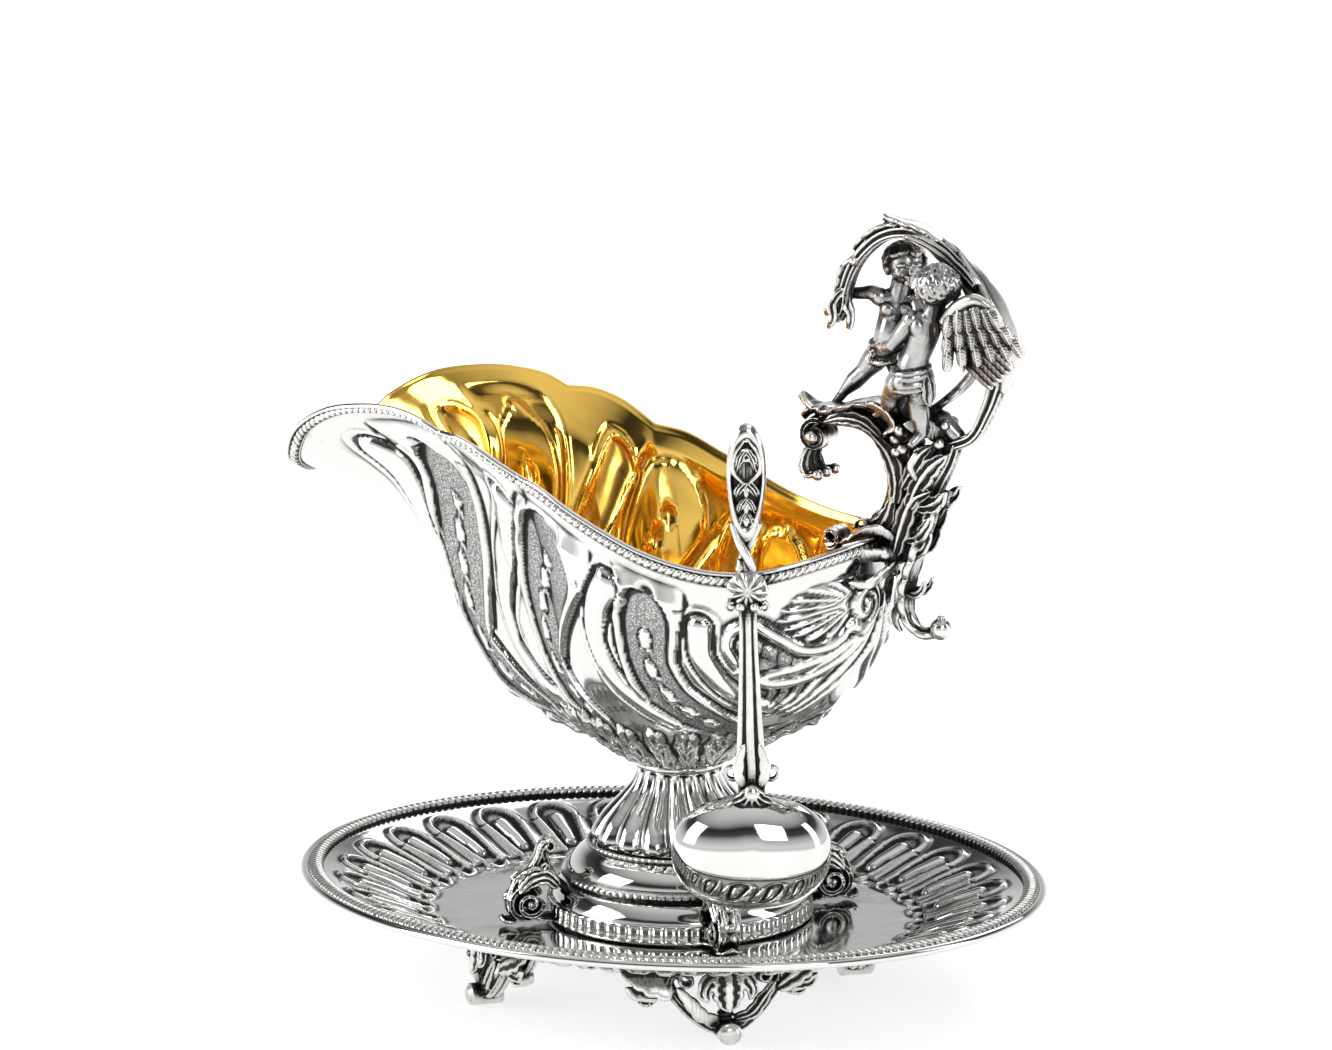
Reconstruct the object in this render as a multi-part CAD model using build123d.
from build123d import *
import math
import os

# A silver sauce boat on its oval footed stand, with its ladle leaning on the rim.
# Units are millimetres. +X points to the handle, -X to the pouring lip, +Z up.
# z = 0 is the table; the origin is under the middle of the whole set.

# ---- driving dimensions ---------------------------------------------------------------
PEDESTAL_X = 8.5          # pedestal axis, measured from the origin
TRAY_FROM_PEDESTAL = -3.7  # the stand's middle, measured from the pedestal axis

TRAY_A = 150.0            # half length of the stand
TRAY_B = 128.0            # half width of the stand
WELL_Z = 32.5             # top of the flat well
FLANGE_Z = 46.6           # top of the flat flange
SHEET = 1.6               # sheet thickness of the stand
EDGE_WIRE = 3.0           # width of the plain outer moulding
ROPE_WIDTH = 6.5          # width of the rope moulding on the flange
ROPE_HEIGHT = 2.3
FOOT_RADIUS = 74.0        # from the stand's middle to each foot
FOOT_THICK = 6.0
TOE_RADIUS = 5.0

SKIRT_R = 52.0            # radius of the pedestal's foot
HULL_BOTTOM_Z = 96.5
HULL_WALL = 1.4
HULL_FLOOR = 1.6
RIM_BAND = 3.6            # height of the rope moulding under the rim
RIM_BAND_DEEP = 7.0       # how far in the moulding may reach under the flared lip

BRACKET_THICK = 9.0
SCROLL_C = (76.0, 211.5)  # centre of the C-scroll handle, x and z from the pedestal axis
SCROLL_R = 27.0
SCROLL_WIDTH = 12.0
ARCH_C = (102.0, 272.0)   # centre of the arched branch
ARCH_R = 40.5
ARCH_WIDTH = 10.0

LADLE_TURN = 29.0         # the ladle leans on the near side, this far round from -Y
LADLE_X = 27.0            # its bowl's middle, sideways from the pedestal axis
LADLE_FRONT = 75.5        # distance from the pedestal axis to the bowl's open face
LADLE_BOWL = (30.3, 18.0, 22.2)  # half width, depth and half height of the bowl
LADLE_BOWL_Z = 76.2
LADLE_STEM_BACK = 77.6    # the stem just clears the rim moulding
LADLE_WALL = 1.4

# Hull stations: height, lip or bow end, bow quarter, shoulder, widest point, stern quarter, stern end
HULL_STATIONS = [
    (96.5, -22, (-20, 7), (-13, 15), (-2, 19), (14, 13), 19),
    (103.0, -41, (-37, 11), (-25, 23), (-4, 29), (22, 20), 33),
    (112.0, -66, (-60, 15), (-40, 30), (-5, 38), (36, 28), 48),
    (127.0, -81, (-74, 18), (-52, 38), (-5, 46.5), (50, 34), 68.5),
    (148.0, -93, (-86, 19), (-60, 44), (-4, 52.5), (62, 39), 82.5),
    (170.0, -107, (-99, 18), (-66, 47), (-3, 56), (66, 41.5), 88),
    (184.0, -124, (-115, 17), (-71, 49), (-2, 58), (67, 42.5), 89.5),
    (190.0, -144, (-132, 16), (-76, 50), (-2, 59), (67, 43), 90),
    (195.0, -163, (-155, 18), (-80, 51), (-2, 59.5), (68, 43), 90),
    (212.0, -167, (-155, 34), (-90, 49), (-3, 60.5), (69, 44), 92),
    (234.0, -169, (-151, 42), (-94, 49.5), (-4, 61), (70, 45), 94),
]

LIP_Z = 194.5             # top of the lip's tip

# Side view of the rim: two small cusps near the lip, then one long dip towards the handle
RIM_LIP = [(-168, 180), (-163.5, LIP_Z), (-160.4, 202), (-153, 213.5), (-146, 219), (-134, 225.2),
           (-118, 228.8), (-98, 229.5), (-77, 223.5)]
RIM_MIDDLE = [(-77, 223.5), (-65, 221.5), (-52, 218), (-41, 212)]
RIM_DIP = [(-41, 212), (-25, 207), (0, 195.5), (30, 184.5), (52, 183), (70, 186.5), (92, 192), (112, 198)]
RIM_TOP = 260.0
# Plan view of the rim moulding's outer edge, from the lip round the far side to the handle
RIM_PLAN = [(-165, 0), (-161, 27.5), (-151.5, 39), (-134, 45), (-112, 48.5), (-90, 52.5), (-50, 59), (-3, 62.4),
            (22, 61.5), (48, 57), (70, 47.5), (85, 29), (92.8, 0)]


# ---- helpers --------------------------------------------------------------------------
def biggest(shape):
    """The largest solid of a shape."""
    return max(shape.solids(), key=lambda solid: solid.volume)


def clear_of(piece, *others):
    """The piece with the room of its neighbours taken out."""
    for other in others:
        piece = piece - other
    return biggest(piece)


def oval(a, b, z):
    """A flat ellipse at a height."""
    return Plane.XY.offset(z) * Ellipse(a, b)


def oval_ring(outer_inset, inner_inset, low, high):
    """An upright oval ring, inset from the stand's outline."""
    outer = extrude(oval(TRAY_A - outer_inset, TRAY_B - outer_inset, low), high - low)
    inner = extrude(oval(TRAY_A - inner_inset, TRAY_B - inner_inset, low), high - low)
    return outer - inner


def upright(profile, width, middle=0.0):
    """Extrude a sketch drawn in x and z by a width along Y, centred on y = middle."""
    plane = Plane.XZ.offset(-middle + -width / 2)
    return extrude(plane * profile, width)


def turned(points):
    """Revolve a closed outline of radius and height about the pedestal axis."""
    outline = Plane.XZ * make_face(Polyline(*points, close=True))
    return revolve(outline, Axis.Z)


def limb(start, end, start_r, end_r):
    """A tapered round limb with rounded ends."""
    a = Vector(*start)
    b = Vector(*end)
    along = Plane(origin=a, z_dir=b - a)
    length = (b - a).length
    bone = along * Pos(0, 0, length / 2) * Cone(start_r, end_r, length)
    return bone + Pos(a.X, a.Y, a.Z) * Sphere(start_r) + Pos(b.X, b.Y, b.Z) * Sphere(end_r)


# ---- the stand ------------------------------------------------------------------------
def tray_pan(raise_by):
    """The solid under the stand's top surface, lifted by an amount."""
    steps = [(0.64, 0.0), (0.68, 1.4), (0.76, 5.4), (0.84, 9.8), (0.90, 12.8), (0.935, 14.1)]
    sections = []
    for scale_to, rise in steps:
        z = WELL_Z - SHEET + rise + raise_by
        sections.append(oval(TRAY_A * scale_to, TRAY_B * scale_to, z))
    return loft(sections)


def tray_dish():
    pan = tray_pan(0) - tray_pan(SHEET)
    flange = oval_ring(EDGE_WIRE, TRAY_A * 0.088, FLANGE_Z - SHEET, FLANGE_Z)
    return biggest(pan + flange)


def tray_rope_border():
    return biggest(oval_ring(EDGE_WIRE, EDGE_WIRE + ROPE_WIDTH, FLANGE_Z, FLANGE_Z + ROPE_HEIGHT))


def tray_edge_wire():
    ring = oval_ring(0, EDGE_WIRE, FLANGE_Z - 2.6, FLANGE_Z + 1.8)
    outer_edges = ring.edges().sort_by(lambda edge: edge.length)[-2:]
    return biggest(chamfer(outer_edges, 1.0))


def foot_half():
    """One half of a foot, drawn in x (along the foot) and z."""
    arm = make_face(
        Polyline((2, 1), (10, 5), (18, 11.5), (24, 18), (30, 21), (36, 23), (40, 28), (40, 30.9), (14, 30.9),
                 (15, 27), (17.5, 23), (15, 17), (9, 10.5), (4, 8), (0, 8), (0, 1), close=True)
    )
    volute = Pos(31, 18.5) * Circle(4.2)
    curl = Pos(12, 27.5) * Circle(3.4)
    leaf = make_face(Polyline((0, 12), (3.2, 15), (3.0, 19), (6.5, 22), (8.5, 27), (12, 30.9), (0, 30.9), close=True))
    return arm + volute + curl + leaf


def tray_foot(angle):
    """An openwork foot: two scroll arms, a pendant leaf and a round toe cut flat on the table."""
    half = foot_half()
    stem = Pos(0, 10) * Rectangle(4.4, 8)
    plate = upright(half + mirror(half, Plane.YZ) + stem, FOOT_THICK)
    toe = Pos(0, -1.5, TOE_RADIUS - 0.8) * Rot(90, 0, 0) * Cylinder(TOE_RADIUS, FOOT_THICK + 6)
    below = Pos(0, 0, -10) * Box(60, 60, 20)
    foot = biggest(plate + toe - below)
    return Rot(0, 0, angle + 90) * Pos(0, -FOOT_RADIUS, 0) * foot


# ---- the hull -------------------------------------------------------------------------
def hull_outline(station, inset, raise_by):
    """One horizontal outline of the hull, drawn a little smaller by inset."""
    z, bow, quarter, shoulder, widest, stern_quarter, stern = station
    side = []
    for x, y in (quarter, shoulder, widest, stern_quarter):
        reach = math.hypot(x, y)
        keep = 1 - inset / reach
        side.append((x * keep, y * keep))
    points = [(bow + inset, 0)] + side + [(stern - inset, 0)]
    points += [(x, -y) for x, y in reversed(side)]
    return Plane.XY.offset(z + raise_by) * make_face(Spline(*points, periodic=True))


def hull_solid(inset, raise_by):
    return loft([hull_outline(station, inset, raise_by) for station in HULL_STATIONS])


def above_rim(lower_by):
    """Everything above the rim's side view, lowered by an amount."""
    curves = []
    for points in (RIM_LIP, RIM_MIDDLE, RIM_DIP):
        curves.append(Spline(*[(x, z - lower_by) for x, z in points]))
    first = (RIM_LIP[0][0], RIM_LIP[0][1] - lower_by)
    last = (RIM_DIP[-1][0], RIM_DIP[-1][1] - lower_by)
    frame = Polyline(last, (last[0], RIM_TOP), (first[0], RIM_TOP), first)
    return upright(make_face(curves + [frame]), 160)


def rim_plan(inset):
    """An upright solid over the rim moulding's plan outline, drawn smaller by inset."""
    side = []
    for x, y in RIM_PLAN[1:-1]:
        keep = 1 - inset / math.hypot(x, y)
        side.append((x * keep, y * keep))
    points = [(RIM_PLAN[0][0] + inset, 0)] + side + [(RIM_PLAN[-1][0] - inset, 0)]
    points += [(x, -y) for x, y in reversed(side)]
    return extrude(Plane.XY.offset(170) * make_face(Spline(*points, periodic=True)), 70)


def hull_rim_border(full):
    band = above_rim(RIM_BAND) - above_rim(0)
    ring = band & (rim_plan(0) - rim_plan(RIM_BAND_DEEP))
    below_lip = Pos(-200, 0, LIP_Z - RIM_BAND - 51) * Box(100, 200, 100)
    return biggest(ring - full - below_lip)


# ---- the pedestal ---------------------------------------------------------------------
def base_skirt():
    return turned([(SKIRT_R - 3, 32.5), (SKIRT_R, 32.5), (SKIRT_R - 0.8, 40), (47, 40), (47, 38), (SKIRT_R - 3, 38)])


def base_lower_dome():
    return turned([(42, 40), (51.2, 40), (49.6, 43), (46.8, 45.8), (44.5, 47.6), (40, 47.6), (40, 45)])


def base_step_ring():
    return turned([(38, 47.6), (44.5, 47.6), (46, 49), (45.4, 50.6), (42, 51.4), (38, 51.4)])


def base_upper_dome():
    return turned([(38, 51.4), (43.6, 51.4), (42.4, 54), (39.8, 57), (35.4, 60.2), (30, 60.2), (30, 58)])


def stem_bead_ring():
    return turned([(29, 60.2), (35.2, 60.2), (36.2, 61), (35.2, 62), (29, 62)])


def pedestal_stem():
    outer = [(33.4, 62), (34.0, 64.8), (31.9, 69.8), (27.7, 74.7), (22.8, 79.7), (18.6, 84.8), (16.4, 91)]
    inner = [(radius - 2.2, height) for radius, height in reversed(outer)]
    return turned(outer + inner)


def stem_collar():
    return turned([(12, 91), (16.4, 91), (17.4, 92.2), (16.4, 93.4), (17.6, 94.6), (16.8, 96.5), (12, 96.5)])


def base_bracket(angle, base):
    """A scroll bracket that leans on the pedestal's foot, drawn in radius and height."""
    spine = make_face(
        Polyline((50, 33), (66, 33), (70, 38), (69.5, 45), (64, 50), (59, 55), (56.5, 61), (57, 64), (54, 66),
                 (51, 63), (52, 57), (50, 50), (46, 46.2), (50, 41), close=True)
    )
    low_volute = Pos(61, 41.5) * Circle(8.8)
    hook = Pos(53, 63) * Circle(3.2)
    plate = upright(spine + low_volute + hook, BRACKET_THICK)
    return clear_of(Rot(0, 0, angle) * plate, *base)


# ---- the handle -----------------------------------------------------------------------
def handle_rim_mount(full):
    outline = Polyline((79, 181), (95, 176), (99, 184), (97, 192), (90, 197), (80, 195), (77, 190), close=True)
    return clear_of(upright(make_face(outline), 26), full)


def handle_scroll(mount, full):
    x, z = SCROLL_C
    ring = Pos(x, z) * Circle(SCROLL_R) - Pos(x - 2.5, z - 2) * Circle(SCROLL_R - 9)
    gap = make_face(Polyline((x - 4, z), (x - 22, z + 34), (x - 50, z + 20), (x - 40, z - 50), (x + 2, z - 40), close=True))
    return clear_of(upright(ring - gap, SCROLL_WIDTH), mount, full)


def handle_scroll_volute(scroll):
    roll = Pos(61.5, 0, 227) * Rot(90, 0, 0) * Cylinder(6.2, SCROLL_WIDTH + 4)
    curl = upright(make_face(Polyline((57, 224), (66, 224), (64, 213), (60, 211), (57, 214), close=True)), 8)
    return clear_of(roll + curl, scroll)


def handle_scroll_leaf(scroll, volute):
    leaf = Polyline((52, 236), (56, 232), (66, 233), (80, 236), (92, 229), (98, 224), (100, 232), (95, 241),
                    (86, 244), (74, 243), (62, 240), close=True)
    return clear_of(upright(make_face(leaf), 20), scroll, volute)


def handle_trunk(mount, scroll, leaf, full):
    outline = Polyline((96, 184), (100, 184), (104, 194), (108, 205), (116, 214), (122, 226), (124, 231),
                       (114, 233), (104, 231), (98, 224), (90, 212), (88, 190), close=True)
    return clear_of(upright(make_face(outline), 14), mount, scroll, leaf, full)


def handle_tail_leaf(trunk, mount, full):
    outline = Polyline((99, 190), (110, 205), (117, 214), (114, 204), (111, 192), (106, 180), (102, 168), (104, 161),
                       (112, 160), (113, 154), (103, 153), (96, 159), (96, 170), (99, 182), close=True)
    ball = Pos(113, 0, 157.5) * Sphere(4.4)
    return clear_of(upright(make_face(outline), 8) + ball, trunk, mount, full)


def handle_arch_branch(trunk):
    x, z = ARCH_C
    ring = Pos(x, z) * Circle(ARCH_R) - Pos(x - 3.5, z + 1.5) * Circle(ARCH_R - 6.5)
    gap = make_face(Polyline((x, z), (x - 60, z - 3), (x - 60, z - 60), (x + 12, z - 60), close=True))
    tip = make_face(Polyline((62, 275), (73, 270), (69, 282), (63, 283), close=True))
    hook = make_face(Polyline((84, 306), (85, 315), (92, 315), (100, 309), close=True))
    return clear_of(upright(ring - gap + tip + hook, ARCH_WIDTH), trunk)


def handle_arch_strand(arch, trunk):
    outline = Polyline((98, 241), (100, 236), (110, 240), (120, 249), (127, 259), (134, 276), (131, 278),
                       (123.5, 262), (117, 252.5), (108, 244.5), close=True)
    return clear_of(upright(make_face(outline), 5), arch, trunk)


def putto_near(others):
    body = limb((115, -13.5, 282), (106.5, -13, 259), 7.2, 8.2)
    body += Pos(117, -13, 293) * Sphere(8.3)
    body += limb((110, -15, 280), (99.5, -15.5, 268), 3.4, 3.0)
    body += limb((99.5, -15.5, 268), (93, -10, 267), 3.0, 2.6)
    body += limb((121, -14, 280), (128.5, -16, 266), 3.4, 2.8)
    body += limb((102.5, -13, 256), (98.5, -13.5, 249), 5.2, 4.0)
    body += limb((98.5, -13.5, 249), (93, -9.5, 242.5), 4.0, 3.0)
    body += limb((108.5, -13, 255), (108.5, -12, 246), 5.2, 4.0)
    body += limb((108.5, -12, 246), (109.5, -8.5, 234), 4.0, 3.0)
    return clear_of(body, *others)


def putto_far(others):
    body = limb((88.5, 12, 285), (84.5, 12, 264), 7.0, 8.0)
    body += Pos(91, 12, 297) * Sphere(8.2)
    body += limb((82, 12, 284), (75.5, 9, 282.5), 3.2, 2.8)
    body += limb((75.5, 9, 282.5), (68.5, 4.5, 281.5), 2.8, 2.4)
    body += limb((95, 11, 282), (102, 5, 278), 3.2, 2.8)
    body += limb((81.5, 13, 259), (74, 11.5, 251.5), 5.0, 3.8)
    body += limb((74, 11.5, 251.5), (66, 8, 242.5), 3.8, 2.8)
    body += limb((87, 13, 258), (88.5, 12, 250), 5.0, 3.8)
    body += limb((88.5, 12, 250), (87, 8.5, 242), 3.8, 2.8)
    return clear_of(body, *others)


def putto_wing(points, y, others):
    return clear_of(upright(make_face(Polyline(*points, close=True)), 2.4, y), *others)


# ---- the ladle ------------------------------------------------------------------------
def on_near_side(piece):
    """Turn a ladle piece, drawn with its back to -Y, to where it leans."""
    return Rot(0, 0, LADLE_TURN) * piece


def ladle_bowl():
    half_width, depth, half_height = LADLE_BOWL
    outer = scale(Sphere(1), by=(half_width, depth, half_height))
    inner = scale(Sphere(1), by=(half_width - LADLE_WALL, depth - LADLE_WALL, half_height - LADLE_WALL))
    open_side = Pos(0, 50, 0) * Box(100, 100, 100)
    return biggest(Pos(LADLE_X, -LADLE_FRONT, LADLE_BOWL_Z) * (outer - inner - open_side))


def ladle_stem(bowl):
    steps = [(27.2, 92.0, 6.5, 5.0), (27.0, 108.5, 11.0, 5.0), (26.2, 120.0, 10.0, 4.4), (25.7, 159.0, 6.4, 3.6),
             (25.2, 178.0, 7.0, 3.4), (24.4, 196.5, 6.0, 3.4)]
    sections = []
    for x, z, width, thick in steps:
        y = -LADLE_STEM_BACK - thick / 2
        sections.append(Plane.XY.offset(z) * Pos(x, y) * Rectangle(width, thick))
    return clear_of(loft(sections, ruled=True), bowl)


def ladle_bud(bowl, stem):
    bud = Pos(27.1, -LADLE_STEM_BACK - 5.5, 100) * Sphere(5.4)
    return clear_of(bud, bowl, stem)


def ladle_medallion(stem):
    disc = Plane.XZ.offset(LADLE_STEM_BACK + 1.0) * Pos(25.2, 178) * Ellipse(8.3, 7.4)
    return clear_of(extrude(disc, 4.4), stem)


def ladle_handle_top(stem):
    disc = Plane.XZ.offset(LADLE_STEM_BACK) * Pos(24.8, 220.0) * Ellipse(8.5, 23.0)
    return clear_of(extrude(disc, 4.0), stem)


# ---- assembly -------------------------------------------------------------------------
def corners():
    """The four diagonal directions shared by the feet and the brackets."""
    return {"handle_far": 45, "lip_far": 135, "lip_near": 225, "handle_near": 315}


def stand_pieces():
    pieces = {
        "tray_dish": tray_dish(),
        "tray_rope_border": tray_rope_border(),
        "tray_edge_wire": tray_edge_wire(),
    }
    for name, angle in corners().items():
        pieces["tray_foot_" + name] = tray_foot(angle)
    return pieces


def pedestal_pieces():
    pieces = {
        "base_skirt": base_skirt(),
        "base_lower_dome": base_lower_dome(),
        "base_step_ring": base_step_ring(),
        "base_upper_dome": base_upper_dome(),
        "stem_bead_ring": stem_bead_ring(),
        "pedestal_stem": pedestal_stem(),
        "stem_collar": stem_collar(),
    }
    base = [pieces[name] for name in ("base_skirt", "base_lower_dome", "base_step_ring", "base_upper_dome")]
    for name, angle in corners().items():
        pieces["base_bracket_" + name] = base_bracket(angle, base)
    return pieces


def hull_pieces(full):
    shell = full - hull_solid(HULL_WALL, HULL_FLOOR)
    return {"hull_shell": biggest(shell), "hull_rim_border": hull_rim_border(full)}


def handle_pieces(full, border):
    mount = clear_of(handle_rim_mount(full), border)
    scroll = handle_scroll(mount, full)
    volute = handle_scroll_volute(scroll)
    leaf = handle_scroll_leaf(scroll, volute)
    trunk = clear_of(handle_trunk(mount, scroll, leaf, full), border)
    tail = clear_of(handle_tail_leaf(trunk, mount, full), border)
    arch = handle_arch_branch(trunk)
    strand = handle_arch_strand(arch, trunk)
    castings = [scroll, leaf, trunk, arch, strand]
    near = putto_near(castings)
    far = putto_far(castings + [near])
    upper = [(125, 281), (138, 290), (144, 279), (150.5, 264), (140, 270), (130, 274)]
    lower = [(125, 277), (137, 279), (145, 268), (149.5, 255), (138, 262), (128, 268)]
    wing_upper = putto_wing(upper, -15.2, castings + [near])
    wing_lower = putto_wing(lower, -18.2, castings + [near, wing_upper])
    return {
        "handle_rim_mount": mount,
        "handle_scroll": scroll,
        "handle_scroll_volute": volute,
        "handle_scroll_leaf": leaf,
        "handle_trunk": trunk,
        "handle_tail_leaf": tail,
        "handle_arch_branch": arch,
        "handle_arch_strand": strand,
        "putto_near": near,
        "putto_far": far,
        "putto_wing_upper": wing_upper,
        "putto_wing_lower": wing_lower,
    }


def ladle_pieces():
    bowl = ladle_bowl()
    stem = ladle_stem(bowl)
    pieces = {
        "ladle_bowl": bowl,
        "ladle_stem": stem,
        "ladle_bud": ladle_bud(bowl, stem),
        "ladle_medallion": ladle_medallion(stem),
        "ladle_handle_top": ladle_handle_top(stem),
    }
    return {name: on_near_side(piece) for name, piece in pieces.items()}


def main():
    os.makedirs("parts", exist_ok=True)
    full = biggest(hull_solid(0, 0) - above_rim(0))
    pieces = {}
    for name, piece in stand_pieces().items():
        pieces[name] = Pos(PEDESTAL_X + TRAY_FROM_PEDESTAL, 0, 0) * piece
    boat = pedestal_pieces()
    boat.update(hull_pieces(full))
    boat.update(handle_pieces(full, boat["hull_rim_border"]))
    boat.update(ladle_pieces())
    for name, piece in boat.items():
        pieces[name] = Pos(PEDESTAL_X, 0, 0) * piece
    for name, piece in pieces.items():
        export_step(piece, "parts/" + name + ".step")


main()
